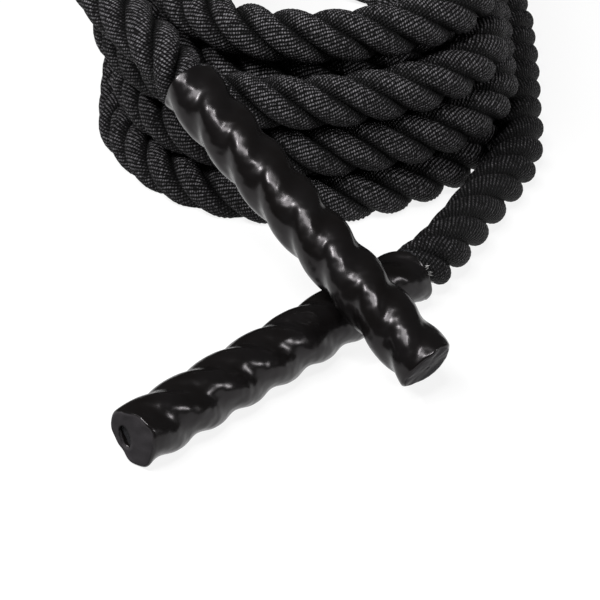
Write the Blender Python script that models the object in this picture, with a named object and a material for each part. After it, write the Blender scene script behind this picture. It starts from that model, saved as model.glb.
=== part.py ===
"""Battle rope: a three-strand rope laid down in an oval pile, with a heat-shrunk grip on each end.

Metres, +Z up. The two grips cross in front of the pile (-Y), and the pile's long side runs along Y.
The origin is on the floor, under the middle of the whole rope.
"""

import math

import bmesh
import bpy
import numpy as np
from mathutils import Vector

# Rope
ROPE_DIAMETER = 0.038
FLOOR_FLAT = 0.0038            # how deep the lowest turns are flattened where they lie
TUBE_STEP = 0.076              # distance between the points of a free stretch
TUBE_SIDE_STEPS = 3            # bevel resolution of a free stretch: 10 sides

# Pile: an oval coil in four layers, seen from above
PILE_CENTRE = Vector((0.0045, 0.2455, 0.0))   # centre of the oval's front half round
PILE_STRAIGHT = 0.173          # length of the oval's straight sides
TURN_PITCH = 0.0406            # from one turn to the next beside it
LAYER_RISE = 0.0395            # from one layer to the next above it
START_RADIUS = 0.1618          # where the lower end comes in, on the right side
INNER_RADII = (0.0700, 0.0790)             # where layers 1 and 3 turn back outwards
OUTER_RADIUS = 0.1511          # where layer 2 turns back inwards
END_RADIUS = 0.1386            # layer 4 winds out no further than this
SECOND_SHIFT = Vector((-0.0090, -0.0015, 0.0))   # layer 2 lies this far off layer 1
UPPER_SHIFT = Vector((-0.0010, -0.0010, 0.0))    # and layers 3 and 4
CORNER_ANGLE = math.radians(338)               # the front right corner is a little fuller
CORNER_HALF_WIDTH = math.radians(55)
CORNER_BULGES = (0.02, 0.06)   # share of the radius: in layer 1, and in the layers above
LOOP_POINTS = 24
HALF_ROUND_STEPS = 11
CLIMB_TURNS = 0.5
COIL_SIDE_STEPS = 1            # bevel resolution of the coil: 6 sides

# Grips
GRIP_LENGTH = 0.265
GRIP_RADIUS = 0.0211           # over the lobes
GRIP_VALLEY_RADIUS = 0.0182    # between the lobes
GRIP_LAY_LENGTH = 0.1047        # one full turn of a strand inside the grip
LOBES = 3
SLEEVE_WALL = 0.0015
SLEEVE_END_WALL = 0.0020
SLEEVE_END_ROUND = 0.0035      # how far the rim of the closed end is rounded over
SLEEVE_HOLE_RADIUS = 0.0055    # the hole that the shrunk end leaves in its middle
FIT_CLEARANCE = 0.0003
TAPE_THICKNESS = 0.0012
TAPE_WIDTH = 0.026
SIDE_STEPS_PER_LOBE = 8
GRIP_STATIONS = 36

# Where the grips lie
LOWER_MOUTH = Vector((0.0747, -0.0010, 0.0))
LOWER_HEADING = math.radians(227.5)          # from the mouth to the closed end, in plan
UPPER_HEADING = math.radians(311.6)
UPPER_SLOPE = math.radians(25.0)             # it comes down from the pile at this slope
CROSSING_FROM_LOWER_END = 0.1888
CROSSING_FROM_UPPER_END = 0.1003
CROSSING_CLEARANCE = 0.0003
LOWER_PHASE = math.radians(-26)               # how far round its axis a lobe stands at the mouth
UPPER_PHASE = math.radians(9)

# Free stretches, in plan, between a grip's mouth and the pile
LOWER_ROUTE = ((0.1035, 0.0554), (0.1380, 0.1192), (0.1645, 0.1868), (0.1688, 0.2600))
# The upper stretch also gives heights: it rises off the pile in a low hump
UPPER_ROUTE = ((-0.1480, 0.2700, 0.1420), (-0.1470, 0.1700, 0.1620))

ROPE_RADIUS = ROPE_DIAMETER / 2
AXIS_HEIGHT = ROPE_RADIUS - FLOOR_FLAT


def clear_scene():
    for thing in list(bpy.data.objects):
        bpy.data.objects.remove(thing, do_unlink=True)


def material(name, colour, roughness):
    made = bpy.data.materials.new(name)
    made.use_nodes = True
    shader = made.node_tree.nodes["Principled BSDF"]
    shader.inputs["Base Color"].default_value = (*colour, 1.0)
    shader.inputs["Roughness"].default_value = roughness
    shader.inputs["Metallic"].default_value = 0.0
    return made


def add_empty(name, parent=None):
    made = bpy.data.objects.new(name, None)
    bpy.context.scene.collection.objects.link(made)
    made.parent = parent
    return made


def add_object(name, mesh, look, parent):
    mesh.materials.append(look)
    made = bpy.data.objects.new(name, mesh)
    bpy.context.scene.collection.objects.link(made)
    made.parent = parent
    return made


# The rope's route

def reversals():
    """(turn number, radius) where the spiral of each layer ends. The last ends as a left side begins."""
    radii = [START_RADIUS, INNER_RADII[0], OUTER_RADIUS, INNER_RADII[1]]
    turns = [0.0]
    for before, after in zip(radii, radii[1:]):
        turns.append(turns[-1] + abs(after - before) / TURN_PITCH)
    left_side_share = HALF_ROUND_STEPS / LOOP_POINTS
    most = turns[-1] + (END_RADIUS - radii[-1]) / TURN_PITCH
    last = math.floor(most - left_side_share) + left_side_share
    radii.append(radii[-1] + (last - turns[-1]) * TURN_PITCH)
    turns.append(last)
    return turns, radii


def layer_share(turn, reversal):
    """From 0 to 1 as the rope climbs a layer, in the half turn round a reversal."""
    share = min(max((turn - reversal) / CLIMB_TURNS + 0.5, 0.0), 1.0)
    return share * share * (3 - 2 * share)


def round_the_oval(turn):
    """(angle, how much of the straight side lies in front) at a turn number, from the right side's back end."""
    step = (turn % 1.0) * LOOP_POINTS
    if step < HALF_ROUND_STEPS:
        return math.pi * step / HALF_ROUND_STEPS, 1.0
    if step < HALF_ROUND_STEPS + 1:
        return math.pi, HALF_ROUND_STEPS + 1 - step
    if step < 2 * HALF_ROUND_STEPS + 1:
        return math.pi * (1 + (step - HALF_ROUND_STEPS - 1) / HALF_ROUND_STEPS), 0.0
    return 2 * math.pi, step - 2 * HALF_ROUND_STEPS - 1


def corner_bulge(angle, raised):
    """How much the radius grows near the front right corner. Raised is 0 in layer 1 and 1 above it."""
    away = abs(math.remainder(angle - CORNER_ANGLE, 2 * math.pi))
    share = math.cos(min(away / CORNER_HALF_WIDTH, 1.0) * math.pi / 2) ** 2
    low, high = CORNER_BULGES
    return (low + (high - low) * raised) * share


def pile_point(turn):
    turns, radii = reversals()
    radius = float(np.interp(turn, turns, radii))
    climbs = [layer_share(turn, reversal) for reversal in turns[1:-1]]
    shift = SECOND_SHIFT * climbs[0] + (UPPER_SHIFT - SECOND_SHIFT) * climbs[1]
    angle, straight_share = round_the_oval(turn)
    radius *= 1 + corner_bulge(angle, min(sum(climbs), 1.0))
    middle = PILE_CENTRE + shift + Vector((0, PILE_STRAIGHT * straight_share, 0))
    height = AXIS_HEIGHT + LAYER_RISE * sum(climbs)
    return middle + Vector((radius * math.cos(angle), radius * math.sin(angle), height))


def pile_route():
    """The coil's points. Each end runs straight for one rope diameter along the oval's side."""
    turns, _ = reversals()
    count = round(turns[-1] * LOOP_POINTS)
    points = [pile_point(i / LOOP_POINTS) for i in range(count + 1)]
    lead_in = points[0] - Vector((0, ROPE_DIAMETER, 0))
    run_out = points[-1] - Vector((0, ROPE_DIAMETER, 0))
    return [lead_in, *points, run_out]


def smooth_route(points, step):
    """Points a step apart on a smooth curve through the route's own points."""
    points = [Vector(p) for p in points]
    before = points[0] * 2 - points[1]
    after = points[-1] * 2 - points[-2]
    held = [before, *points, after]
    fine = []
    for p0, p1, p2, p3 in zip(held, held[1:], held[2:], held[3:]):
        for i in range(16):
            t = i / 16
            fine.append(
                0.5 * (2 * p1 + (p2 - p0) * t + (2 * p0 - 5 * p1 + 4 * p2 - p3) * t**2
                       + (3 * p1 - p0 - 3 * p2 + p3) * t**3)
            )
    fine.append(points[-1])
    run = np.concatenate([[0.0], np.cumsum([(b - a).length for a, b in zip(fine, fine[1:])])])
    spots = np.linspace(0.0, run[-1], max(2, round(run[-1] / step)) + 1)
    table = np.array([tuple(p) for p in fine])
    return [Vector([np.interp(s, run, table[:, axis]) for axis in range(3)]) for s in spots]


def length_of(points):
    return sum((b - a).length for a, b in zip(points, points[1:]))


def least_gap(points, skip):
    """The least distance between the surfaces of turns that are more than skip points apart."""
    table = np.array([tuple(p) for p in points])
    starts, ends = table[:-1], table[1:]
    shares = np.linspace(0, 1, 9)[None, :, None]
    fine = starts[:, None] + (ends - starts)[:, None] * shares
    closest = min(
        float(np.linalg.norm(fine[i][:, None, None] - fine[i + skip:][None], axis=-1).min())
        for i in range(len(fine) - skip)
    )
    return closest - ROPE_DIAMETER


# The grips' places

def heading(angle, slope=0.0):
    return Vector((math.cos(angle) * math.cos(slope), math.sin(angle) * math.cos(slope), -math.sin(slope)))


def lower_grip_place():
    """(mouth, direction from the mouth to the closed end)."""
    return LOWER_MOUTH + Vector((0, 0, GRIP_RADIUS)), heading(LOWER_HEADING)


def upper_grip_place():
    """The upper grip lies on the lower one: its height comes from the two radii where they cross."""
    lower_mouth, lower_way = lower_grip_place()
    way = heading(UPPER_HEADING, UPPER_SLOPE)
    square = lower_way.cross(way).normalized()
    rise = (2 * GRIP_RADIUS + CROSSING_CLEARANCE) / abs(square.z)
    crossing = lower_mouth + lower_way * (GRIP_LENGTH - CROSSING_FROM_LOWER_END) + Vector((0, 0, rise))
    return crossing - way * (GRIP_LENGTH - CROSSING_FROM_UPPER_END), way


# The grips' lobed sections, which turn with the strands

def lobe_radius(angle, inset):
    crest = 0.5 + 0.5 * math.cos(LOBES * angle)
    return GRIP_VALLEY_RADIUS + (GRIP_RADIUS - GRIP_VALLEY_RADIUS) * crest - inset


def turned(angle, radius, along):
    """A point at a distance along the grip, carried round by the lay."""
    round_by = angle + 2 * math.pi * along / GRIP_LAY_LENGTH
    return Vector((radius * math.cos(round_by), radius * math.sin(round_by), along))


def lobed_ring(along, inset, roundness=0.0, radius=0.0):
    """A ring of the lobed section. Roundness 1 makes it a plain circle of the given radius."""
    count = LOBES * SIDE_STEPS_PER_LOBE
    ring = []
    for i in range(count):
        angle = 2 * math.pi * i / count
        lobed = lobe_radius(angle, inset)
        ring.append(turned(angle, lobed + (radius - lobed) * roundness, along))
    return ring


def strand_ring(along, inset, number):
    """One strand's share of the section: a third of it, with half the clearance off each flat side."""
    middle = 2 * math.pi * number / LOBES
    half = math.pi / LOBES
    side = FIT_CLEARANCE / 2
    skew = side / lobe_radius(half, inset)
    steps = [2 * math.pi * i / (LOBES * SIDE_STEPS_PER_LOBE) for i in range(SIDE_STEPS_PER_LOBE // 2)]
    arc = [-half + skew, *(-a for a in reversed(steps[1:])), *steps, half - skew]
    ring = [turned(middle, side / math.sin(half), along)]
    ring += [turned(middle + a, lobe_radius(a, inset), along) for a in arc]
    return ring


def loft(name, rings, closed, hollow_side=False):
    """Skins rings of equal count. A closed loft joins the last ring to the first, as on a hollow shell."""
    corners = [tuple(p) for ring in rings for p in ring]
    count = len(rings[0])
    faces = []
    pairs = list(zip(range(len(rings)), range(1, len(rings))))
    if closed:
        pairs.append((len(rings) - 1, 0))
    for low, high in pairs:
        climbs = rings[high][0].z >= rings[low][0].z
        for j in range(count):
            k = (j + 1) % count
            a, b, c, d = low * count + j, low * count + k, high * count + k, high * count + j
            straight = climbs != (hollow_side and k == 0)
            faces += [(a, b, d), (b, c, d)] if straight else [(a, b, c), (a, c, d)]
    if not closed:
        faces.append(tuple(reversed(range(count))))
        faces.append(tuple(range((len(rings) - 1) * count, len(rings) * count)))
    mesh = bpy.data.meshes.new(name)
    mesh.from_pydata(corners, [], faces)
    mesh.shade_smooth()
    mesh.set_sharp_from_angle(angle=math.radians(40))
    return mesh


def stations(first, last):
    """Places along the grip between two limits, at the grip's even steps, so that all skins run alike."""
    even = [GRIP_LENGTH * i / GRIP_STATIONS for i in range(GRIP_STATIONS + 1)]
    least = GRIP_LENGTH / GRIP_STATIONS / 4
    return [first, *(s for s in even if first + least < s < last - least), last]


STRAND_INSET = SLEEVE_WALL + FIT_CLEARANCE
BOUND_INSET = STRAND_INSET + TAPE_THICKNESS + FIT_CLEARANCE
STRAND_END = GRIP_LENGTH - SLEEVE_END_WALL - FIT_CLEARANCE
TAPE_START = STRAND_END - TAPE_WIDTH
NECK_LENGTH = TAPE_THICKNESS * 2


def sleeve_mesh(name):
    """A tube shrunk onto the strands: open at the mouth, curled in round a small hole at the end."""
    shoulder = GRIP_LENGTH - SLEEVE_END_ROUND
    inner_end = GRIP_LENGTH - SLEEVE_END_WALL
    corner = SLEEVE_END_ROUND * (1 - math.sqrt(0.5))
    rings = [lobed_ring(s, 0.0) for s in stations(0.0, shoulder)]
    rings.append(lobed_ring(GRIP_LENGTH - corner, corner))
    rings.append(lobed_ring(GRIP_LENGTH, SLEEVE_END_ROUND))
    rings.append(lobed_ring(GRIP_LENGTH, 0.0, 1.0, SLEEVE_HOLE_RADIUS))
    rings.append(lobed_ring(inner_end, 0.0, 1.0, SLEEVE_HOLE_RADIUS))
    rings.append(lobed_ring(inner_end, SLEEVE_WALL))
    rings += [lobed_ring(s, SLEEVE_WALL) for s in reversed(stations(0.0, shoulder))]
    return loft(name, rings, closed=True)


def strand_mesh(name, number):
    """A strand's end inside the grip, drawn in where the tape binds it."""
    neck = TAPE_START - FIT_CLEARANCE
    rings = [strand_ring(s, STRAND_INSET, number) for s in stations(0.0, neck - NECK_LENGTH)]
    rings += [strand_ring(s, BOUND_INSET, number) for s in stations(neck, STRAND_END)]
    return loft(name, rings, closed=False, hollow_side=True)


def tape_mesh(name):
    """The whipping of tape that holds the three strand ends together."""
    places = stations(TAPE_START, STRAND_END)
    rings = [lobed_ring(s, STRAND_INSET) for s in places]
    rings += [lobed_ring(s, STRAND_INSET + TAPE_THICKNESS) for s in reversed(places)]
    return loft(name, rings, closed=True)


def make_grip(side, place, phase, root, looks):
    """A grip, with its own empty at the middle of its mouth and +Z towards its closed end."""
    mouth, way = place
    grip = add_empty(f"{side}_grip", root)
    grip.location = mouth
    grip.rotation_mode = "QUATERNION"
    grip.rotation_quaternion = way.to_track_quat("Z", "Y")
    turned_part = add_empty(f"{side}_lay", grip)
    turned_part.rotation_euler = (0, 0, phase)
    for number in range(LOBES):
        name = f"{side}_strand_{number + 1}"
        add_object(name, strand_mesh(name, number), looks["yarn"], turned_part)
    name = f"{side}_end_binding"
    add_object(name, tape_mesh(name), looks["tape"], turned_part)
    name = f"{side}_grip_sleeve"
    add_object(name, sleeve_mesh(name), looks["sleeve"], turned_part)


# The rope's tubes

def make_tube(name, points, side_steps, look, root, cutter):
    """A round tube along the points, cut flat where it lies on the floor."""
    curve = bpy.data.curves.new(f"{name}_route", "CURVE")
    curve.dimensions = "3D"
    curve.twist_mode = "Z_UP"
    curve.bevel_depth = ROPE_RADIUS
    curve.bevel_resolution = side_steps
    curve.use_fill_caps = True
    spline = curve.splines.new("POLY")
    spline.points.add(len(points) - 1)
    for spot, place in zip(spline.points, points):
        spot.co = (*place, 1.0)
    guide = bpy.data.objects.new(f"{name}_route", curve)
    bpy.context.scene.collection.objects.link(guide)
    mesh = bpy.data.meshes.new_from_object(guide.evaluated_get(bpy.context.evaluated_depsgraph_get()))
    bpy.data.objects.remove(guide, do_unlink=True)
    weld_caps(mesh)
    mesh.shade_smooth()
    mesh.set_sharp_from_angle(angle=math.radians(62))
    mesh.materials.clear()
    made = add_object(name, mesh, look, root)
    cut = made.modifiers.new("floor_flat", "BOOLEAN")
    cut.operation = "DIFFERENCE"
    cut.solver = "EXACT"
    cut.object = cutter
    return made


def weld_caps(mesh):
    """Joins a tube's caps to its sides, which a curve leaves apart."""
    form = bmesh.new()
    form.from_mesh(mesh)
    bmesh.ops.remove_doubles(form, verts=form.verts, dist=ROPE_RADIUS * 1e-4)
    bmesh.ops.recalc_face_normals(form, faces=form.faces)
    form.to_mesh(mesh)
    form.free()


def make_floor_cutter(root):
    """A slab under the floor that flattens what would reach below it."""
    low = Vector((-1, -1, -1)) * PILE_STRAIGHT * 8
    high = Vector((PILE_STRAIGHT * 8, PILE_STRAIGHT * 8, 0))
    corners = [(x, y, z) for x in (low.x, high.x) for y in (low.y, high.y) for z in (low.z, high.z)]
    faces = [(0, 1, 3, 2), (4, 6, 7, 5), (0, 4, 5, 1), (2, 3, 7, 6), (0, 2, 6, 4), (1, 5, 7, 3)]
    mesh = bpy.data.meshes.new("floor_cutter")
    mesh.from_pydata(corners, [], faces)
    made = bpy.data.objects.new("floor_cutter", mesh)
    bpy.context.scene.collection.objects.link(made)
    made.parent = root
    made.hide_render = True
    made.display_type = "WIRE"
    return made


def lower_lead_route(coil):
    mouth, way = lower_grip_place()
    gap = FIT_CLEARANCE
    start = mouth - way * gap
    end = coil[0] - Vector((0, gap, 0))
    settled = [Vector((x, y, AXIS_HEIGHT)) for x, y in LOWER_ROUTE]
    return [start, *smooth_route([start - way * ROPE_DIAMETER, *settled, end - Vector((0, ROPE_DIAMETER, 0))],
                                 TUBE_STEP), end]


def upper_lead_route(coil):
    mouth, way = upper_grip_place()
    gap = FIT_CLEARANCE
    start = coil[-1] - Vector((0, gap, 0))
    end = mouth - way * gap
    raised = [Vector(p) for p in UPPER_ROUTE]
    return [start, *smooth_route([start - Vector((0, ROPE_DIAMETER, 0)), *raised, end - way * ROPE_DIAMETER],
                                 TUBE_STEP), end]


def centre_on_floor(root):
    """Moves the whole rope so that the origin lies under its middle, on the floor."""
    bpy.context.view_layer.update()
    graph = bpy.context.evaluated_depsgraph_get()
    corners = []
    for thing in bpy.data.objects:
        if thing.type == "MESH" and not thing.hide_render:
            solid = thing.evaluated_get(graph)
            corners += [solid.matrix_world @ v.co for v in solid.data.vertices]
    table = np.array([tuple(c) for c in corners])
    low, high = table.min(axis=0), table.max(axis=0)
    root.location = (-(low[0] + high[0]) / 2, -(low[1] + high[1]) / 2, 0)
    bpy.context.view_layer.update()
    print("moved by", [round(value, 5) for value in root.location], "size", (high - low).round(4))


def main():
    clear_scene()
    looks = {
        "yarn": material("rope_yarn", (0.018, 0.018, 0.020), 0.9),
        "tape": material("whipping_tape", (0.030, 0.030, 0.032), 0.6),
        "sleeve": material("heat_shrink", (0.008, 0.008, 0.009), 0.22),
    }
    root = add_empty("battle_rope")
    cutter = make_floor_cutter(root)
    coil = pile_route()
    lower = lower_lead_route(coil)
    upper = upper_lead_route(coil)
    make_tube("rope_coil", coil, COIL_SIDE_STEPS, looks["yarn"], root, cutter)
    make_tube("lower_lead", lower, TUBE_SIDE_STEPS, looks["yarn"], root, cutter)
    make_tube("upper_lead", upper, TUBE_SIDE_STEPS, looks["yarn"], root, cutter)
    make_grip("lower", lower_grip_place(), LOWER_PHASE, root, looks)
    make_grip("upper", upper_grip_place(), UPPER_PHASE, root, looks)
    centre_on_floor(root)
    rope_length = length_of(lower) + length_of(coil) + length_of(upper) + 2 * STRAND_END
    print("rope length", round(rope_length, 3), "coil", round(length_of(coil), 3),
          "leads", round(length_of(lower), 3), round(length_of(upper), 3))
    print("least gap of the coil to itself, mm", round(least_gap(coil, LOOP_POINTS // 3) * 1000, 2))


main()
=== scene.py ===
"""The looks of the battle rope: a laid three-strand rope in a pile, with a glossy shrunk grip on each end."""

import math

import bpy
import numpy as np
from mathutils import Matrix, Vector


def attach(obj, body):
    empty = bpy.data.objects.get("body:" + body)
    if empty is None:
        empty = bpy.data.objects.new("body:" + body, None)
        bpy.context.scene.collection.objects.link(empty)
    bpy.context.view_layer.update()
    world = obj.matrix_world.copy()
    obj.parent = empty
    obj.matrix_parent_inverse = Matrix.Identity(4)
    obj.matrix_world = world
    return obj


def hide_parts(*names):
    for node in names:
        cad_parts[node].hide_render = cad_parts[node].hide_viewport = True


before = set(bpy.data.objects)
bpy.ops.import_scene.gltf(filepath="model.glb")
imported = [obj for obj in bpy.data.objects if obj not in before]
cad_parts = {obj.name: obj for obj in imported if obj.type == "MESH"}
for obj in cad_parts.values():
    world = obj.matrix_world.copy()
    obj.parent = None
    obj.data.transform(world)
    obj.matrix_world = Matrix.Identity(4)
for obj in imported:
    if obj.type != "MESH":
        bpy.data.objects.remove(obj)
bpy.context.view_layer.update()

# The middle of the photograph's view, on the floor: the points below are given from there
VIEW_MIDDLE = Vector((-0.00871, -0.19062, 0.0))

# Rope
ROPE_DIAMETER = 0.038
ROPE_RADIUS = ROPE_DIAMETER / 2
FLOOR_FLAT = 0.0038             # the rope's underside is flattened by this much
AXIS_HEIGHT = ROPE_RADIUS - FLOOR_FLAT
TUBE_STEP = 0.076
CURVE_STEPS = 16                # between two points of a route
# (distance from the nearer grip's mouth, length of one full turn of a strand there)
LAY_LENGTHS = (
    (-0.016, 0.1047), (-0.001, 0.1047), (0.0, 0.061), (0.02, 0.063), (0.035, 0.087), (0.05, 0.112),
    (0.128, 0.115), (0.16, 0.089), (0.187, 0.083), (0.21, 0.093), (0.245, 0.100), (0.3, 0.090),
    (0.5, 0.088), (0.9, 0.091),
)
LAY_FIT_START = 2.0             # further than this from both ends, the lay is fitted to the grips' lobes
STRANDS = 3
STRAND_CENTRE = 0.0097          # from the rope's axis to a strand's
STRAND_HALF_DEPTH = 0.0097      # of a strand's section, across the rope
STRAND_HALF_WIDTH = 0.0112      # and round it
POINTS_PER_STRAND = 10
RING_STEP = 0.0035
YARN_LEAN = math.radians(20)    # the yarns lean this far off the rope's axis, against the strands
YARN_PITCH = 0.0028
BEAD_PITCH = 0.00175
STRAND_ROW_SHIFT = 17.3         # rows, so that the three strands' yarns differ

# Pile
PILE_CENTRE = Vector((0.0045, 0.2455, 0.0))
PILE_STRAIGHT = 0.173           # of the oval, from front to back
TURN_PITCH = 0.0406
LAYER_RISE = 0.0395
START_RADIUS = 0.1618           # the spiral goes in, out and in again, and stops on its way out
INNER_RADII = (0.0700, 0.0790)
OUTER_RADIUS = 0.1511
END_RADIUS = 0.1386
SECOND_SHIFT = Vector((-0.0090, -0.0015, 0.0))
UPPER_SHIFT = Vector((-0.0010, -0.0010, 0.0))
LOOP_POINTS = 24
HALF_ROUND_STEPS = 11
CLIMB_TURNS = 0.5

# Where the pile's turns leave the oval, as shares of their radius
CORNER_ANGLE = math.radians(338)        # the front right corner is fuller
CORNER_HALF_WIDTH = math.radians(55)
CORNER_BULGES = (0.035, 0.108)          # in layer 1, and in the layers above
SIDE_ANGLE = math.radians(347)          # layer 1 lies against the lower lead here
SIDE_HALF_WIDTH = math.radians(40)
SIDE_BULGE = 0.050
SIDE_BULGE_TURNS = (0.3, 0.85)          # it grows from nothing between these turns of the spiral
LEFT_ANGLE = math.radians(200)          # the front left corner is tighter
LEFT_HALF_WIDTH = math.radians(50)
LEFT_BULGE = -0.024

# Free stretches between a grip's mouth and the pile
LOWER_ROUTE = ((0.1005, 0.0572), (0.1372, 0.1198), (0.1619, 0.1868), (0.1662, 0.2600))
UPPER_ROUTE = ((-0.1480, 0.2700, 0.1420), (-0.1470, 0.1700, 0.1620))
MOUTH_LEAN = Vector((-0.0034, 0.0031, 0.0))     # the rope bends this way just outside the lower grip

# Grips
GRIP_LENGTH = 0.265
GRIP_RADIUS = 0.0211
GRIP_VALLEY_RADIUS = 0.0182
GRIP_LAY_LENGTH = 0.1047
LOWER_MOUTH = Vector((0.0747, -0.0010, 0.0))
LOWER_HEADING = math.radians(227.5)
UPPER_HEADING = math.radians(311.6)
UPPER_SLOPE = math.radians(25.0)
CROSSING_FROM_LOWER_END = 0.1888
CROSSING_FROM_UPPER_END = 0.1003
CROSSING_CLEARANCE = 0.0003
LOWER_PHASE = math.radians(-26)         # of the first lobe at the mouth
UPPER_PHASE = math.radians(9)
FIT_CLEARANCE = 0.0003
ROPE_IN_GRIP = 0.016                    # the rope's mesh starts this deep inside the mouth
LOBE_FULLNESS = 1.35
SLEEVE_LIP = 0.0008
SLEEVE_POINTS = 96
SLEEVE_ANGLES = np.arange(SLEEVE_POINTS) * 2 * math.pi / SLEEVE_POINTS
SLEEVE_STEP = 0.0016
LIP_RINGS = 5
SHOULDER_RINGS = 8
FACE_RINGS = 7
BORE_RINGS = 40

# The grips' cut edges
SLEEVE_SEEDS = {"lower": 11, "upper": 23}
WAVE_START = 6.28                       # a wave starts anywhere within this angle, nearly a full turn
MOUTH_LAP = 0.0005                      # how far the tube laps over the free rope
MOUTH_CUT = 0.013                       # the lower mouth is cut back by this much on one side
MOUTH_FULL_TURN = math.radians(-35)     # and not at all at this angle round the tube
MOUTH_WAVE = 0.00022                    # unevenness of the edge
MOUTH_WAVE_CRESTS = range(1, 9)
MOUTH_EDGE_REACH = 0.030                # the edge's form fades out over this length
BURR_TURN = math.radians(-48)           # of the small tag on the lower mouth
BURR_LENGTH = 0.0024
BURR_WIDTH = 0.07
END_ROUND = 0.0024
END_WAVE = 0.00011
END_WAVE_CRESTS = range(3, 12)
END_EDGE_REACH = 0.020
END_DIP = 0.0003                        # the end's face sinks by this much towards its hole
END_THICKNESS = 0.0022
INNER_FACE_INSET = 0.009
UPPER_END_SLANT = 0.0030                # the upper end is cut this much off square
UPPER_END_TURN = math.radians(127)      # it reaches furthest here
# (middle, half sides, turn) of the oval hole in each end
LOWER_HOLE = ((-0.0078, -0.0032), (0.0054, 0.0084), math.radians(8))
UPPER_HOLE = ((0.0, -0.0010), (0.0004, 0.0003), 0.0)
HOLE_WAVE = 0.010                       # share of the hole's radius
HOLE_WAVE_CRESTS = range(3, 9)
HOLE_EDGE = ((0.0004, 0.97), (0.0010, 0.95), (0.0018, 0.97))    # (depth, share of the hole's radius)

# Broken filaments at the lower mouth
FRAY_COUNT = 10
FRAY_SEED = 5
FRAY_TURNS = (math.radians(5), math.radians(48))        # round the tube, from its right side upwards
FRAY_EDGES = (-0.001, 0.0005)           # from the mouth's edge, along the tube
FRAY_DEPTH = 0.0022                     # of the roots, below the lobes' crests
FRAY_LENGTHS = (0.0018, 0.0034)
FRAY_LEANS = (-0.6, 0.6)                # sideways, as a share of the length
FRAY_REACH = 0.6                        # along the rope
FRAY_RISE = 0.8                         # away from it
FRAY_CURL = math.radians(108)
FRAY_RADIUS = 0.00024
FRAY_ROOT_SHARE = 1.2                   # of that radius at the root, and 1 less at the tip
FRAY_STOPS = (0.0, 0.35, 0.7, 1.0)      # shares of the length where it has a ring
FRAY_SIDES = 5

# Surfaces
# From the grooves between rows to the bead tops: the yarns' own pattern, with painted shade in the grooves
# and a painted highlight on the bead tops
YARN_COLOURS_AND_PAINTED_LIGHT = (
    (0.0, (0.0006, 0.0006, 0.0007)),
    (0.30, (0.0094, 0.0090, 0.0096)),
    (1.0, (0.172, 0.166, 0.176)),
)
ROW_WANDER_SCALE = 80.0                 # each scale is a noise's, per metre
ROW_WANDER = 0.9                        # rows
BEAD_WANDER_SCALE = 170.0
BEAD_WANDER = 1.2                       # beads
BEAD_SHIFT = 0.37                       # beads, from one row to the next
BEAD_SLANT = 0.6                        # beads, across one row
FLECK_SCALE = 450.0
YARN_DEPTH = 0.0012
YARN_SHINE = 0.12
VALLEY_SHADE_SHARE = 0.15                     # painted shade: the strands' valleys keep this share of the crowns' brightness
LEAD_SHADE_RUN = (0.30, 0.60)              # painted shade on the lower lead: darker up to the first length of the rope, not from the second on
# share of the brightness that the painted shade leaves on the lower lead
LEAD_SHADE_SHARE = 0.56
SLEEVE_COLOURS = ((0.3, (0.0036, 0.0030, 0.0028)), (0.7, (0.0060, 0.0054, 0.0056)))
SLEEVE_COLOUR_SCALE = 35.0
SLEEVE_TINT = (1.0, 0.95, 0.98, 1.0)    # of its highlights
SLEEVE_ROUGHNESS = (0.22, 0.25)
SLEEVE_GRAIN_SCALE = 900.0
SLEEVE_SHINE = 0.28
RIPPLE_SCALE = 85.0
RIPPLE_DEPTH = 0.0013
SLEEVE_FACE_COLOUR = (0.042, 0.039, 0.042)
FACE_SHINE = 0.006
FACE_FADE = (0.0006, 0.0001)            # the face's colour comes in between these distances from the end
TAPE_COLOURS = ((0.3, (0.022, 0.022, 0.023)), (0.7, (0.036, 0.036, 0.038)))
CUT_YARN_COLOURS = ((0.3, (0.008, 0.008, 0.009)), (0.7, (0.030, 0.030, 0.033)))
FILAMENT_COLOURS = ((0.3, (0.08, 0.08, 0.08)), (0.65, (0.50, 0.49, 0.48)))
FLOOR_COLOUR = (0.18, 0.18, 0.18)

# The photograph's view, its floor and its light
VIEW_DISTANCE = 1.85
VIEW_DOWN = math.radians(32)
VIEW_LENS_MM = 160.95
SENSOR_MM = 36.0
FLOOR_SIZE = 30.0
FLOOR_GLOW = 0.85
WORLD_STRENGTH = 0.05
LAMP_TARGET = Vector((0, 0, 0))
# (name, place, size, watts)
LAMPS = (
    ("left_box", (-1.45, -0.25, 1.80), (0.28, 0.28), 26),
    ("soft_box", (-0.75, -0.75, 2.00), (1.20, 0.60), 34),
    ("front_box", (0.0, -1.05, 2.05), (0.32, 0.32), 18),
    ("right_box", (1.75, -0.88, 0.98), (0.22, 0.20), 6),
    ("right_glow", (1.75, -0.88, 0.98), (0.66, 0.44), 11),
)


def set_camera():
    view = bpy.data.cameras.new("view")
    view.lens = VIEW_LENS_MM
    view.sensor_width = SENSOR_MM
    camera = bpy.data.objects.new("view", view)
    bpy.context.scene.collection.objects.link(camera)
    away = Vector((0, -math.cos(VIEW_DOWN), math.sin(VIEW_DOWN)))
    camera.location = VIEW_MIDDLE + away * VIEW_DISTANCE
    camera.rotation_euler = (math.pi / 2 - VIEW_DOWN, 0, 0)
    bpy.context.scene.camera = camera


# The rope's route, as the solid pieces follow it

def reversals():
    """(turn numbers, radii) where the spiral of each layer ends."""
    radii = [START_RADIUS, INNER_RADII[0], OUTER_RADIUS, INNER_RADII[1]]
    turns = [0.0]
    for before, after in zip(radii, radii[1:]):
        turns.append(turns[-1] + abs(after - before) / TURN_PITCH)
    left_side_share = HALF_ROUND_STEPS / LOOP_POINTS
    most = turns[-1] + (END_RADIUS - radii[-1]) / TURN_PITCH
    last = math.floor(most - left_side_share) + left_side_share
    radii.append(radii[-1] + (last - turns[-1]) * TURN_PITCH)
    turns.append(last)
    return turns, radii


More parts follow.
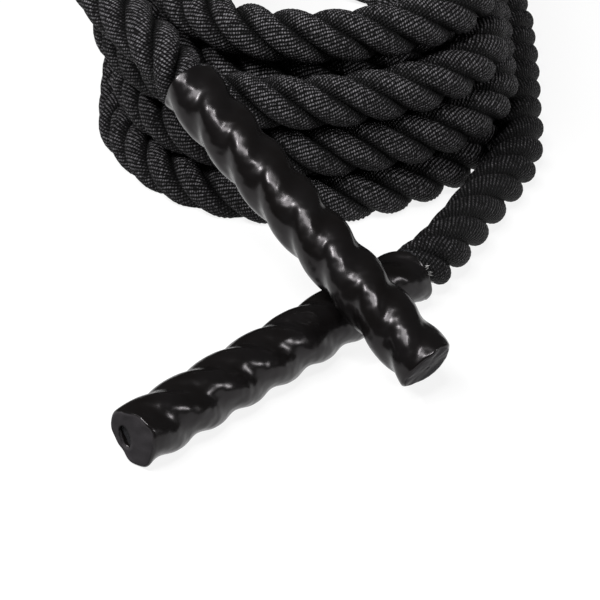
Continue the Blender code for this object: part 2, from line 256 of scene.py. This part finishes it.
def layer_share(turn, reversal):
    """From 0 to 1 as the rope climbs a layer, in the half turn round a reversal."""
    share = min(max((turn - reversal) / CLIMB_TURNS + 0.5, 0.0), 1.0)
    return share * share * (3 - 2 * share)


def round_the_oval(turn):
    """(angle, how much of the straight side lies in front) at a turn number."""
    step = (turn % 1.0) * LOOP_POINTS
    if step < HALF_ROUND_STEPS:
        return math.pi * step / HALF_ROUND_STEPS, 1.0
    if step < HALF_ROUND_STEPS + 1:
        return math.pi, HALF_ROUND_STEPS + 1 - step
    if step < 2 * HALF_ROUND_STEPS + 1:
        return math.pi * (1 + (step - HALF_ROUND_STEPS - 1) / HALF_ROUND_STEPS), 0.0
    return 2 * math.pi, step - 2 * HALF_ROUND_STEPS - 1


def nearness(angle, middle, half_width):
    """1 at the middle angle, falling smoothly to 0 at half the width away."""
    away = abs(math.remainder(angle - middle, 2 * math.pi))
    return math.cos(min(away / half_width, 1.0) * math.pi / 2) ** 2


def radius_change(angle, turn, raised):
    """The share by which a turn leaves the oval. Raised is 0 in layer 1 and 1 above it."""
    low, high = CORNER_BULGES
    corner = low + (high - low) * raised
    side = SIDE_BULGE * float(np.interp(turn, SIDE_BULGE_TURNS, (0.0, 1.0))) * (1 - raised)
    return (corner * nearness(angle, CORNER_ANGLE, CORNER_HALF_WIDTH)
            + side * nearness(angle, SIDE_ANGLE, SIDE_HALF_WIDTH)
            + LEFT_BULGE * nearness(angle, LEFT_ANGLE, LEFT_HALF_WIDTH))


def pile_point(turn):
    turns, radii = reversals()
    radius = float(np.interp(turn, turns, radii))
    climbs = [layer_share(turn, reversal) for reversal in turns[1:-1]]
    shift = SECOND_SHIFT * climbs[0] + (UPPER_SHIFT - SECOND_SHIFT) * climbs[1]
    angle, straight_share = round_the_oval(turn)
    radius *= 1 + radius_change(angle, turn, min(sum(climbs), 1.0))
    middle = PILE_CENTRE + shift + Vector((0, PILE_STRAIGHT * straight_share, 0))
    height = AXIS_HEIGHT + LAYER_RISE * sum(climbs)
    return middle + Vector((radius * math.cos(angle), radius * math.sin(angle), height))


def pile_route():
    turns, _ = reversals()
    count = round(turns[-1] * LOOP_POINTS)
    points = [pile_point(i / LOOP_POINTS) for i in range(count + 1)]
    lead_in = points[0] - Vector((0, ROPE_DIAMETER, 0))
    run_out = points[-1] - Vector((0, ROPE_DIAMETER, 0))
    return [lead_in, *points, run_out]


def lengths_along(table):
    """The length from the first point of a route to each of its points."""
    return np.concatenate([[0.0], np.cumsum(np.linalg.norm(np.diff(table, axis=0), axis=1))])


def smooth_route(points, step):
    """Points a step apart on a smooth curve through the given ones."""
    points = [Vector(p) for p in points]
    before = points[0] * 2 - points[1]
    after = points[-1] * 2 - points[-2]
    held = [before, *points, after]
    fine = []
    for p0, p1, p2, p3 in zip(held, held[1:], held[2:], held[3:]):
        for i in range(CURVE_STEPS):
            t = i / CURVE_STEPS
            fine.append(
                0.5 * (2 * p1 + (p2 - p0) * t + (2 * p0 - 5 * p1 + 4 * p2 - p3) * t**2
                       + (3 * p1 - p0 - 3 * p2 + p3) * t**3)
            )
    fine.append(points[-1])
    table = np.array([tuple(p) for p in fine])
    run = lengths_along(table)
    spots = np.linspace(0.0, run[-1], max(2, round(run[-1] / step)) + 1)
    return [Vector([np.interp(s, run, table[:, axis]) for axis in range(3)]) for s in spots]


def heading(angle, slope=0.0):
    return Vector((math.cos(angle) * math.cos(slope), math.sin(angle) * math.cos(slope), -math.sin(slope)))


def lower_grip_place():
    """(mouth, direction from the mouth to the closed end)."""
    return LOWER_MOUTH + Vector((0, 0, GRIP_RADIUS)), heading(LOWER_HEADING)


def upper_grip_place():
    """(mouth, direction): the upper grip rests across the lower one."""
    lower_mouth, lower_way = lower_grip_place()
    way = heading(UPPER_HEADING, UPPER_SLOPE)
    square = lower_way.cross(way).normalized()
    rise = (2 * GRIP_RADIUS + CROSSING_CLEARANCE) / abs(square.z)
    crossing = lower_mouth + lower_way * (GRIP_LENGTH - CROSSING_FROM_LOWER_END) + Vector((0, 0, rise))
    return crossing - way * (GRIP_LENGTH - CROSSING_FROM_UPPER_END), way


def rope_route():
    """The whole rope's route from inside the lower grip to inside the upper one."""
    coil = pile_route()
    beside_coil = Vector((0, FIT_CLEARANCE + ROPE_DIAMETER, 0))
    mouth, way = lower_grip_place()
    settled = [Vector((x, y, AXIS_HEIGHT)) for x, y in LOWER_ROUTE]
    outside = mouth - way * (ROPE_DIAMETER + FIT_CLEARANCE) + MOUTH_LEAN
    lower = [mouth + way * ROPE_IN_GRIP, mouth - way * FIT_CLEARANCE,
             *smooth_route([outside, *settled, coil[0] - beside_coil], TUBE_STEP)]
    mouth, way = upper_grip_place()
    outside = mouth - way * (ROPE_DIAMETER + FIT_CLEARANCE)
    upper = [*smooth_route([coil[-1] - beside_coil, *UPPER_ROUTE, outside], TUBE_STEP),
             mouth - way * FIT_CLEARANCE, mouth + way * ROPE_IN_GRIP]
    return [*lower, *coil, *upper]


# Mesh helpers

def new_object(name, mesh):
    made = bpy.data.objects.new(name, mesh)
    bpy.context.scene.collection.objects.link(made)
    return made


def mark_sharp(mesh, around, columns):
    """Makes the edges along these columns of a ring skin sharp."""
    ends = np.empty(len(mesh.edges) * 2, dtype=np.int32)
    mesh.edges.foreach_get("vertices", ends)
    places = ends.reshape(-1, 2) % around
    sharp = (places[:, 0] == places[:, 1]) & np.isin(places[:, 0], columns)
    made = mesh.attributes.new("sharp_edge", "BOOLEAN", "EDGE")
    made.data.foreach_set("value", sharp)


def ring_skin(name, rings, maps, cut_columns=(), closed_ends=False, closed_loop=False):
    """Skins an array of rings (ring, point, xyz) with quads. Each map is (ring, point, side, uv)."""
    count, around = rings.shape[:2]
    index = np.arange(count * around).reshape(count, around)
    if closed_loop:
        index = np.vstack([index, index[:1]])
    right = np.roll(index, -1, axis=1)
    faces = np.stack([index[:-1], right[:-1], right[1:], index[1:]], axis=-1).reshape(-1, 4)
    mesh = bpy.data.meshes.new(name)
    mesh.vertices.add(count * around)
    mesh.vertices.foreach_set("co", rings.reshape(-1).astype(np.float32))
    caps = [index[0][::-1], index[-1]] if closed_ends else []
    loops = np.concatenate([faces.reshape(-1), *caps]).astype(np.int32)
    starts = list(range(0, len(faces) * 4, 4)) + [len(faces) * 4 + i * around for i in range(len(caps))]
    mesh.loops.add(len(loops))
    mesh.loops.foreach_set("vertex_index", loops)
    mesh.polygons.add(len(starts))
    mesh.polygons.foreach_set("loop_start", np.array(starts, dtype=np.int32))
    for map_name, places in maps.items():
        if closed_loop:
            places = np.concatenate([places, places[:1]])
        layer = mesh.uv_layers.new(name=map_name)
        first, second = places[:, :, 0], places[:, :, 1]
        corners = np.stack([first[:-1], second[:-1], second[1:], first[1:]], axis=2).reshape(-1, 2)
        table = np.zeros((len(loops), 2), dtype=np.float32)
        table[: len(corners)] = corners
        layer.data.foreach_set("uv", table.reshape(-1))
    mesh.update(calc_edges=True)
    mesh.validate()
    mesh.shade_smooth()
    if len(cut_columns):
        mark_sharp(mesh, around, cut_columns)
    return mesh


def frames_along(table):
    """(up, side) at each point of a route. Up stays as near the vertical as the route allows."""
    tangent = np.gradient(table, axis=0)
    tangent /= np.linalg.norm(tangent, axis=1)[:, None]
    up = np.array([0.0, 0.0, 1.0]) - tangent * tangent[:, 2:3]
    up /= np.linalg.norm(up, axis=1)[:, None]
    return up, np.cross(tangent, up)


# The rope

def strand_profile():
    """(angle, radius) of one strand's share of the section, from valley to valley."""
    angles = (np.arange(POINTS_PER_STRAND + 1) / POINTS_PER_STRAND - 0.5) * 2 * math.pi / STRANDS
    a = (np.cos(angles) / STRAND_HALF_DEPTH) ** 2 + (np.sin(angles) / STRAND_HALF_WIDTH) ** 2
    b = STRAND_CENTRE * np.cos(angles) / STRAND_HALF_DEPTH**2
    c = (STRAND_CENTRE / STRAND_HALF_DEPTH) ** 2 - 1
    return angles, (b + np.sqrt(b * b - a * c)) / a


def lobe_turn(along):
    """How far a grip's lobes have turned at a length along it."""
    return 2 * math.pi * along / GRIP_LAY_LENGTH


def lobe_angle(place, phase, up, side):
    """The angle, in the rope's own section, of the grip's lobe where the modelled rope ends."""
    _, way = place
    angle = phase + lobe_turn(ROPE_IN_GRIP)
    lobe = way.to_track_quat("Z", "Y") @ Vector((math.cos(angle), math.sin(angle), 0))
    return math.atan2(lobe.dot(Vector(side)), lobe.dot(Vector(up)))


def lay_angles(run, first, last):
    """How far round the strands have turned at each length. The whole turn is fitted to both grips' lobes."""
    places, lays = zip(*LAY_LENGTHS)
    from_nearer_mouth = np.minimum(run, run[-1] - run) - ROPE_IN_GRIP
    lay = np.interp(from_nearer_mouth, places, lays)
    steps = np.diff(run) * (1 / lay[1:] + 1 / lay[:-1]) / 2
    turned = np.concatenate([[0.0], np.cumsum(steps)]) * 2 * math.pi
    lobe = 2 * math.pi / STRANDS
    whole = round((turned[-1] - (last - first)) / lobe) * lobe + (last - first)
    late = np.clip((run - LAY_FIT_START) / (run[-1] - 2 * LAY_FIT_START), 0, 1)
    return first + turned + (whole - turned[-1]) * late


def rope_rings(fine, up, side, lay):
    """The rope's surface, flat where it would go below the floor."""
    angles, radii = strand_profile()
    lobe = 2 * math.pi / STRANDS
    around = np.concatenate([k * lobe + angles[:-1] for k in range(STRANDS)])
    spin = (around[None, :] + lay[:, None])[..., None]
    reach = np.tile(radii[:-1], STRANDS)[None, :, None]
    rings = fine[:, None] + reach * (np.cos(spin) * up[:, None] + np.sin(spin) * side[:, None])
    rings[..., 2] = np.maximum(rings[..., 2], 0.0)
    return rings + np.array(VIEW_MIDDLE)


def rope_maps(run, lay):
    """The yarns' map counts rows, and beads along a row. The strands' map has the length along the rope, and
    runs from -1 to 1 across each strand."""
    angles, radii = strand_profile()
    arc = np.concatenate([[0.0], np.cumsum(np.hypot(np.diff(radii), radii[1:] * np.diff(angles)))])
    arc -= arc[-1] / 2
    along = run[:, None]
    yarns = np.zeros((len(run), STRANDS * POINTS_PER_STRAND, 2, 2))
    strands = np.zeros_like(yarns)
    strands[..., 0] = run[:, None, None]
    for k in range(STRANDS):
        columns = slice(k * POINTS_PER_STRAND, (k + 1) * POINTS_PER_STRAND)
        for end, share in enumerate((arc[:-1], arc[1:])):
            across = share[None, :] + ROPE_RADIUS * (lay - lay[0])[:, None]
            rows = (across * math.cos(YARN_LEAN) + along * math.sin(YARN_LEAN)) / YARN_PITCH
            beads = (along * math.cos(YARN_LEAN) - across * math.sin(YARN_LEAN)) / BEAD_PITCH
            yarns[:, columns, end, 0] = rows + STRAND_ROW_SHIFT * k
            yarns[:, columns, end, 1] = beads
            strands[:, columns, end, 1] = share / arc[-1]
    return {"yarns": yarns, "strands": strands}


def make_rope(look):
    fine = np.array([tuple(p) for p in smooth_route(rope_route(), RING_STEP)])
    up, side = frames_along(fine)
    run = lengths_along(fine)
    first = lobe_angle(lower_grip_place(), LOWER_PHASE, up[0], side[0])
    last = lobe_angle(upper_grip_place(), UPPER_PHASE, up[-1], side[-1])
    lay = lay_angles(run, first, last)
    valleys = [k * POINTS_PER_STRAND for k in range(STRANDS)]
    mesh = ring_skin("rope", rope_rings(fine, up, side, lay), rope_maps(run, lay),
                     cut_columns=valleys, closed_ends=True)
    mesh.materials.append(look)
    rope = new_object("rope", mesh)
    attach(rope, "root")
    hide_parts("rope_coil", "lower_lead", "upper_lead")


# The grips' sleeves

def tube_axes(place):
    """(middle of the mouth, x, y and z axis) of a grip. Z runs from the mouth to the closed end."""
    mouth, way = place
    axes = [np.array(axis) for axis in way.to_track_quat("Z", "Y").to_matrix().col]
    return [np.array(mouth + VIEW_MIDDLE), *axes]


def sleeve_radius(inset=0.0):
    """The radii round the shrunk tube: three lobes with soft valleys."""
    crest = 1 - (0.5 - 0.5 * np.cos(STRANDS * SLEEVE_ANGLES)) ** LOBE_FULLNESS
    return GRIP_VALLEY_RADIUS + (GRIP_RADIUS - GRIP_VALLEY_RADIUS) * crest - inset


def mouth_cut(turn):
    """How far the lower mouth is cut back at a turn round the tube."""
    return MOUTH_CUT * (0.5 - 0.5 * np.cos(turn - MOUTH_FULL_TURN)) ** 3


def mouth_burr(turn):
    """How far the small tag on the lower mouth stands out at a turn round the tube."""
    away = np.remainder(turn - BURR_TURN + math.pi, 2 * math.pi) - math.pi
    return BURR_LENGTH * np.exp(-(away / BURR_WIDTH) ** 2)


def near_mouth(along):
    """1 at the mouth, falling to 0 where its edge's form has faded out."""
    return max(0.0, 1 - (along + MOUTH_LAP) / MOUTH_EDGE_REACH)


def near_end(along):
    """1 at the closed end, falling to 0 where its edge's form has faded out."""
    return max(0.0, 1 - (GRIP_LENGTH - along) / END_EDGE_REACH)


class Sleeve:
    """The rings of a shrunk tube: round the mouth's lip, along the outside, over the end and back inside."""

    def __init__(self, side, place, phase, end_slant):
        self.mouth, *self.axes = tube_axes(place)
        self.phase = phase
        self.end_slant = end_slant
        self.rings, self.lengths = [], []
        self.chance = np.random.default_rng(SLEEVE_SEEDS[side])
        self.mouth_edge = self.waves(MOUTH_WAVE, MOUTH_WAVE_CRESTS)
        if side == "lower":
            turn = SLEEVE_ANGLES + phase
            self.mouth_edge = self.mouth_edge + mouth_cut(turn) - mouth_burr(turn)
        self.end_edge = self.waves(END_WAVE, END_WAVE_CRESTS)

    def waves(self, size, crests):
        """A random unevenness round the tube, made of one wave for each number of crests."""
        edge = np.zeros(SLEEVE_POINTS)
        for k in crests:
            height = self.chance.normal(0, size)
            edge += height * np.cos(k * SLEEVE_ANGLES + self.chance.uniform(0, WAVE_START))
        return edge

    def add_ring(self, along, radius, lift=0.0, turned=None, middle=(0.0, 0.0)):
        """A ring at a length along the tube. It turns with the lobes there, or as at the length in turned."""
        spin = SLEEVE_ANGLES + self.phase + lobe_turn(along if turned is None else turned)
        x = middle[0] + radius * np.cos(spin)
        y = middle[1] + radius * np.sin(spin)
        z = along + lift * np.ones(SLEEVE_POINTS)
        x_axis, y_axis, z_axis = self.axes
        self.rings.append(self.mouth + x[:, None] * x_axis + y[:, None] * y_axis + z[:, None] * z_axis)
        self.lengths.append(along)

    def end_lift(self, radius, slant_share, edge_share):
        """How far the end's points at this radius lie off the square cut."""
        spin = SLEEVE_ANGLES + self.phase + lobe_turn(GRIP_LENGTH) - UPPER_END_TURN
        across = radius * np.cos(spin) / GRIP_RADIUS
        return edge_share * self.end_edge - slant_share * self.end_slant * (1 - across) / 2

    def add_lip(self):
        """The mouth's rounded lip, from inside to outside."""
        for turn in np.linspace(0, math.pi, LIP_RINGS):
            radius = sleeve_radius(SLEEVE_LIP / 2 * (1 + math.cos(turn)))
            along = -MOUTH_LAP - SLEEVE_LIP / 2 * math.sin(turn)
            self.add_ring(along, radius, lift=self.mouth_edge, turned=-MOUTH_LAP)

    def add_outside(self):
        """The long outside, and its rounded shoulder at the closed end."""
        shoulder = GRIP_LENGTH - END_ROUND
        length = shoulder + MOUTH_LAP
        count = round(length / SLEEVE_STEP)
        radius = sleeve_radius()
        for i in range(1, count + 1):
            along = length * i / count - MOUTH_LAP
            at_end = near_end(along)
            lift = self.mouth_edge * near_mouth(along) + self.end_lift(radius, at_end, at_end**2)
            self.add_ring(along, radius, lift=lift)
        for turn in np.linspace(0, math.pi / 2, SHOULDER_RINGS)[1:]:
            along = shoulder + END_ROUND * math.sin(turn)
            radius = sleeve_radius(END_ROUND * (1 - math.cos(turn)))
            self.add_ring(along, radius, lift=self.end_lift(radius, near_end(along), 1.0))

    def hole_radius(self, half_sides, hole_turn):
        """The radii of the end's oval hole, a little ragged."""
        spin = SLEEVE_ANGLES + self.phase + lobe_turn(GRIP_LENGTH) - hole_turn
        a, b = half_sides
        oval = a * b / np.sqrt((b * np.cos(spin)) ** 2 + (a * np.sin(spin)) ** 2)
        return oval * (1 + self.waves(HOLE_WAVE, HOLE_WAVE_CRESTS))

    def add_end(self, middle, half_sides, hole_turn):
        """The end's face, drawn in to its hole, and the hole's edge curled inwards."""
        rim = sleeve_radius(END_ROUND)
        hole = self.hole_radius(half_sides, hole_turn)
        for share in np.linspace(0, 1, FACE_RINGS)[1:]:
            radius = rim * (1 - share) + hole * share
            dip = END_DIP * math.sin(share * math.pi / 2) ** 2
            lift = self.end_lift(radius, 1.0, (1 - share) ** 3) - dip
            self.add_ring(GRIP_LENGTH, radius, lift=lift, middle=(middle[0] * share, middle[1] * share))
        for depth, share in HOLE_EDGE:
            lift = self.end_lift(hole * share, 1.0, 0.0) - END_DIP - depth
            self.add_ring(GRIP_LENGTH, hole * share, lift=lift, middle=middle)

    def add_inside(self):
        """The back of the end's face, and the bore from there to the mouth."""
        inner_end = GRIP_LENGTH - END_THICKNESS - self.end_slant
        self.add_ring(inner_end, sleeve_radius(INNER_FACE_INSET))
        for along in np.linspace(inner_end, -MOUTH_LAP, BORE_RINGS):
            self.add_ring(along, sleeve_radius(SLEEVE_LIP), lift=self.mouth_edge * near_mouth(along))

    def round_map(self):
        """The length along the tube, and the share of the way round it."""
        share = np.arange(SLEEVE_POINTS) / SLEEVE_POINTS
        table = np.zeros((len(self.rings), SLEEVE_POINTS, 2, 2))
        table[..., 0] = np.array(self.lengths)[:, None, None]
        table[..., 0, 1] = share
        table[..., 1, 1] = share + 1 / SLEEVE_POINTS
        return table


def make_sleeve(side, place, phase, hole, end_slant, look):
    """The shrunk tube of a grip. Its mouth laps over the rope, and its far end is curled in round a hole."""
    shape = Sleeve(side, place, phase, end_slant)
    shape.add_lip()
    shape.add_outside()
    shape.add_end(*hole)
    shape.add_inside()
    mesh = ring_skin(f"{side}_sleeve", np.array(shape.rings), {"round": shape.round_map()}, closed_loop=True)
    mesh.materials.append(look)
    sleeve = new_object(f"{side}_sleeve", mesh)
    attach(sleeve, "root")
    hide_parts(f"{side}_grip_sleeve")


# The broken filaments

def fray_points(mouth, axes, chance):
    """The points of one filament, which starts at the mouth's edge and stands out over the rope."""
    x_axis, y_axis, z_axis = axes
    turn = chance.uniform(*FRAY_TURNS)
    out = x_axis * math.cos(turn) + y_axis * math.sin(turn)
    across = np.cross(z_axis, out)
    edge = mouth_cut(turn) + chance.uniform(*FRAY_EDGES)
    root = mouth + out * (GRIP_RADIUS - FRAY_DEPTH) + z_axis * edge
    length = chance.uniform(*FRAY_LENGTHS)
    lean = chance.uniform(*FRAY_LEANS)
    points = []
    for share in FRAY_STOPS:
        rise = FRAY_RISE * math.sin(share * FRAY_CURL)
        middle = root + length * (out * rise + across * lean * share - z_axis * FRAY_REACH * share)
        thickness = FRAY_RADIUS * (FRAY_ROOT_SHARE - share)
        for angle in np.linspace(0, 2 * math.pi, FRAY_SIDES + 1)[:-1]:
            away = math.cos(angle) * across - math.sin(angle) * z_axis
            points.append(tuple(middle + thickness * away))
    return points


def fray_faces(first):
    """The sides and both ends of one filament, whose points are numbered from first."""
    faces = []
    last = first + (len(FRAY_STOPS) - 1) * FRAY_SIDES
    for base in range(first, last, FRAY_SIDES):
        for k in range(FRAY_SIDES):
            after = (k + 1) % FRAY_SIDES
            faces.append((base + k, base + after, base + FRAY_SIDES + after, base + FRAY_SIDES + k))
    faces.append(tuple(first + k for k in reversed(range(FRAY_SIDES))))
    faces.append(tuple(last + k for k in range(FRAY_SIDES)))
    return faces


def make_frays(look):
    """A few broken filaments that stand out between the lower grip's mouth and the rope."""
    mouth, *axes = tube_axes(lower_grip_place())
    chance = np.random.default_rng(FRAY_SEED)
    points, faces = [], []
    for _ in range(FRAY_COUNT):
        faces += fray_faces(len(points))
        points += fray_points(mouth, axes, chance)
    mesh = bpy.data.meshes.new("lower_frays")
    mesh.from_pydata(points, [], faces)
    mesh.shade_smooth()
    mesh.materials.append(look)
    frays = new_object("lower_frays", mesh)
    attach(frays, "root")


# Materials

class Nodes:
    """Short calls for building a material's node tree."""

    def __init__(self, name):
        self.material = bpy.data.materials.new(name)
        self.material.use_nodes = True
        self.tree = self.material.node_tree
        self.shader = self.tree.nodes["Principled BSDF"]

    def add(self, kind, **settings):
        node = self.tree.nodes.new(kind)
        for key, value in settings.items():
            setattr(node, key, value)
        return node

    def plug(self, value, socket):
        if isinstance(value, bpy.types.NodeSocket):
            self.tree.links.new(value, socket)
        else:
            socket.default_value = value

    def look(self, **values):
        """Sets or links inputs of the shader, with an underscore for each space in their names."""
        for name, value in values.items():
            self.plug(value, self.shader.inputs[name.replace("_", " ")])

    def place(self):
        return self.add("ShaderNodeTexCoord").outputs["Object"]

    def uv_map(self, name):
        """The two values of a map."""
        parts = self.add("ShaderNodeSeparateXYZ")
        self.plug(self.add("ShaderNodeUVMap", uv_map=name).outputs[0], parts.inputs[0])
        return parts.outputs[0], parts.outputs[1]

    def math(self, operation, first, second=0.0, third=0.0):
        node = self.add("ShaderNodeMath", operation=operation)
        for value, socket in zip((first, second, third), node.inputs):
            self.plug(value, socket)
        return node.outputs[0]

    def wave(self, value):
        """From 0 at each whole number to 1 halfway between two."""
        return self.math("ABSOLUTE", self.math("SINE", self.math("MULTIPLY", value, math.pi)))

    def noise(self, place, scale, detail=2.0):
        node = self.add("ShaderNodeTexNoise")
        self.plug(place, node.inputs["Vector"])
        node.inputs["Scale"].default_value = scale
        node.inputs["Detail"].default_value = detail
        node.inputs["Roughness"].default_value = 0.5
        return node.outputs["Fac"]

    def ramp(self, value, stops):
        node = self.add("ShaderNodeValToRGB")
        ramp = node.color_ramp
        while len(ramp.elements) < len(stops):
            ramp.elements.new(0.5)
        for element, (place, colour) in zip(ramp.elements, stops):
            element.position = place
            element.color = (*colour, 1.0)
        self.plug(value, node.inputs["Fac"])
        return node.outputs["Color"]

    def spread(self, value, low, high, to_low, to_high):
        node = self.add("ShaderNodeMapRange")
        for value_in, socket in zip((value, low, high, to_low, to_high), node.inputs):
            self.plug(value_in, socket)
        return node.outputs[0]

    def mix_colours(self, share, first, second):
        """The node has sockets for each type of value. These numbers are the ones for colours."""
        node = self.add("ShaderNodeMix", data_type="RGBA")
        for value, number in ((share, 0), (first, 6), (second, 7)):
            self.plug(value, node.inputs[number])
        return node.outputs[2]

    def bump(self, height, distance):
        node = self.add("ShaderNodeBump")
        node.inputs["Distance"].default_value = distance
        node.inputs["Strength"].default_value = 1.0
        self.plug(height, node.inputs["Height"])
        return node.outputs["Normal"]


def yarn_material():
    """Rows of small beads that wander a little. Painted shade darkens the valleys between the strands and the
    lead near the lower grip; bead tops are lighter and the grooves between rows darker, partly the yarns'
    pattern and partly painted highlight and painted shade.
    """
    n = Nodes("rope_yarn")
    row, bead = n.uv_map("yarns")
    along, across = n.uv_map("strands")
    place = n.place()
    row = n.math("MULTIPLY_ADD", n.noise(place, ROW_WANDER_SCALE), ROW_WANDER, row)
    bead = n.math("MULTIPLY_ADD", n.noise(place, BEAD_WANDER_SCALE), BEAD_WANDER, bead)
    row_form = n.wave(row)
    shift = n.math("MULTIPLY", n.math("FLOOR", row), BEAD_SHIFT)
    slant = n.math("MULTIPLY", n.math("FRACT", row), BEAD_SLANT)
    bead_form = n.wave(n.math("ADD", bead, n.math("ADD", shift, slant)))
    fleck = n.noise(place, FLECK_SCALE)
    height = n.math("ADD", n.math("MULTIPLY", n.math("POWER", row_form, 0.8), 0.5),
                    n.math("MULTIPLY", n.math("MULTIPLY", bead_form, row_form), 0.5))
    # painted shade: darker towards the valleys between the strands, and along the lead near the lower grip
    painted_shade = n.math("MULTIPLY", n.spread(n.math("ABSOLUTE", across), 0.5, 1.0, 1.0, VALLEY_SHADE_SHARE),
                   n.spread(along, *LEAD_SHADE_RUN, LEAD_SHADE_SHARE, 1.0))
    # lighter bead tops and darker grooves: partly the yarns' pattern, partly painted highlight and painted
    # shade
    beads = n.math("MULTIPLY_ADD", n.math("POWER", bead_form, 1.5), 0.75, 0.25)
    tone_and_painted_light = n.math("MULTIPLY", n.math("MULTIPLY", n.math("POWER", row_form, 1.5), beads),
                  n.math("MULTIPLY", n.spread(fleck, 0.35, 0.65, 0.3, 1.4), painted_shade))
    n.look(Base_Color=n.ramp(tone_and_painted_light, YARN_COLOURS_AND_PAINTED_LIGHT), Roughness=n.spread(height, 0.2, 0.9, 0.8, 0.5),
           Specular_IOR_Level=YARN_SHINE, Normal=n.bump(height, YARN_DEPTH))
    return n.material


def sleeve_material():
    """Glossy black tube with a soft ripple. The face of its closed end is duller and lighter."""
    n = Nodes("heat_shrink")
    place = n.place()
    ripple = n.noise(place, RIPPLE_SCALE, detail=1.0)
    grain = n.noise(place, SLEEVE_GRAIN_SCALE)
    along, _ = n.uv_map("round")
    face = n.spread(along, GRIP_LENGTH - FACE_FADE[0], GRIP_LENGTH - FACE_FADE[1], 0.0, 1.0)
    black = n.ramp(n.noise(place, SLEEVE_COLOUR_SCALE), SLEEVE_COLOURS)
    n.look(Base_Color=n.mix_colours(face, black, (*SLEEVE_FACE_COLOUR, 1.0)),
           Roughness=n.spread(grain, 0.3, 0.7, *SLEEVE_ROUGHNESS),
           Specular_IOR_Level=n.spread(face, 0.0, 1.0, SLEEVE_SHINE, FACE_SHINE),
           Specular_Tint=SLEEVE_TINT, Normal=n.bump(ripple, RIPPLE_DEPTH))
    return n.material


def tape_material():
    n = Nodes("whipping_tape")
    grain = n.noise(n.place(), 600.0, detail=3.0)
    n.look(Base_Color=n.ramp(grain, TAPE_COLOURS), Roughness=n.spread(grain, 0.3, 0.7, 0.5, 0.65),
           Normal=n.bump(grain, 0.0003))
    return n.material


def cut_yarn_material():
    n = Nodes("strand_in_grip")
    fleck = n.noise(n.place(), 700.0, detail=3.0)
    n.look(Base_Color=n.ramp(fleck, CUT_YARN_COLOURS), Roughness=0.7, Specular_IOR_Level=0.1,
           Normal=n.bump(fleck, 0.0006))
    return n.material


def filament_material():
    n = Nodes("broken_filament")
    n.look(Base_Color=n.ramp(n.noise(n.place(), 400.0), FILAMENT_COLOURS), Roughness=0.45)
    return n.material


def floor_material():
    """Pale paper. It glows white to the camera, in mirrors and through glass, but the glow lights nothing."""
    n = Nodes("floor_paper")
    n.look(Base_Color=(*FLOOR_COLOUR, 1), Roughness=0.9, Specular_IOR_Level=0.0)
    glow = n.add("ShaderNodeEmission")
    glow.inputs["Strength"].default_value = FLOOR_GLOW
    both = n.add("ShaderNodeAddShader")
    n.plug(n.shader.outputs[0], both.inputs[0])
    n.plug(glow.outputs[0], both.inputs[1])
    rays = n.add("ShaderNodeLightPath")
    seen = n.math("MAXIMUM", rays.outputs["Is Camera Ray"],
                  n.math("MAXIMUM", rays.outputs["Is Glossy Ray"], rays.outputs["Is Transmission Ray"]))
    chosen = n.add("ShaderNodeMixShader")
    for value, socket in zip((seen, n.shader.outputs[0], both.outputs[0]), chosen.inputs):
        n.plug(value, socket)
    n.plug(chosen.outputs[0], n.tree.nodes["Material Output"].inputs["Surface"])
    return n.material


def dress_node(name, look):
    thing = bpy.data.objects[name]
    for slot in thing.material_slots:
        slot.material = look


# Stage

def set_stage():
    mesh = bpy.data.meshes.new("floor")
    half = FLOOR_SIZE / 2
    corners = [(-half, -half, 0), (half, -half, 0), (half, half, 0), (-half, half, 0)]
    mesh.from_pydata(corners, [], [(0, 1, 2, 3)])
    mesh.materials.append(floor_material())
    floor = new_object("floor", mesh)


def set_world():
    world = bpy.data.worlds.new("studio")
    bpy.context.scene.world = world
    world.use_nodes = True
    back = world.node_tree.nodes["Background"]
    back.inputs["Color"].default_value = (1, 1, 1, 1)
    back.inputs["Strength"].default_value = WORLD_STRENGTH


def set_lamps():
    for name, place, size, watts in LAMPS:
        lamp = bpy.data.lights.new(name, "AREA")
        lamp.shape = "RECTANGLE"
        lamp.size, lamp.size_y = size
        lamp.energy = watts
        thing = bpy.data.objects.new(name, lamp)
        bpy.context.scene.collection.objects.link(thing)
        thing.location = VIEW_MIDDLE + Vector(place)
        thing.rotation_euler = (LAMP_TARGET - Vector(place)).to_track_quat("-Z", "Y").to_euler()


def main():
    bpy.context.scene.view_settings.view_transform = "Standard"
    set_camera()
    make_rope(yarn_material())
    strand_look = cut_yarn_material()
    tape_look = tape_material()
    sleeve_look = sleeve_material()
    make_sleeve("lower", lower_grip_place(), LOWER_PHASE, LOWER_HOLE, 0.0, sleeve_look)
    make_sleeve("upper", upper_grip_place(), UPPER_PHASE, UPPER_HOLE, UPPER_END_SLANT, sleeve_look)
    for side in ("lower", "upper"):
        dress_node(f"{side}_end_binding", tape_look)
        for number in range(STRANDS):
            dress_node(f"{side}_strand_{number + 1}", strand_look)
    make_frays(filament_material())
    set_stage()
    set_world()
    set_lamps()


main()
